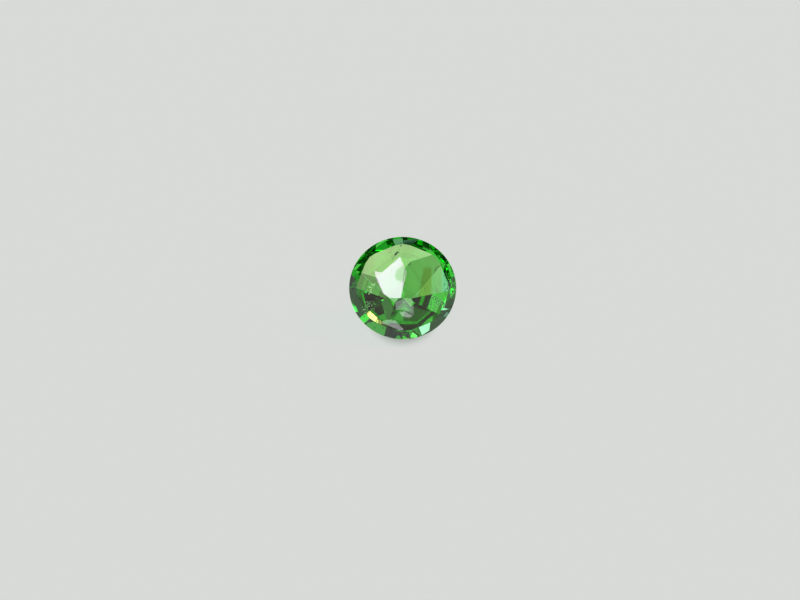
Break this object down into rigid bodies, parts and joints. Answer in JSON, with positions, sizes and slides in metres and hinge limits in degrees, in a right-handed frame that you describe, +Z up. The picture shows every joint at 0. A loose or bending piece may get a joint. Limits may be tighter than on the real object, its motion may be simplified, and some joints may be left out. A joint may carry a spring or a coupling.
{
  "type": "faceted gemstone",
  "caption": "Small round faceted tsavorite garnet, loose and see-through green, lying on one facet of its pavilion with its table facing forwards and up.",
  "frame": {"origin": "centre of the stone's outline seen from above, on the surface that it lies on", "axes": "+Z up from that surface, -Y towards the side that the table faces, +X to the right when the table is looked at"},
  "size_m": [0.0036, 0.0028, 0.0024],
  "materials": {
    "tsavorite": "polished"
  },
  "bodies": {
    "root": {"garnet": "tsavorite"}
  },
  "joints": []
}
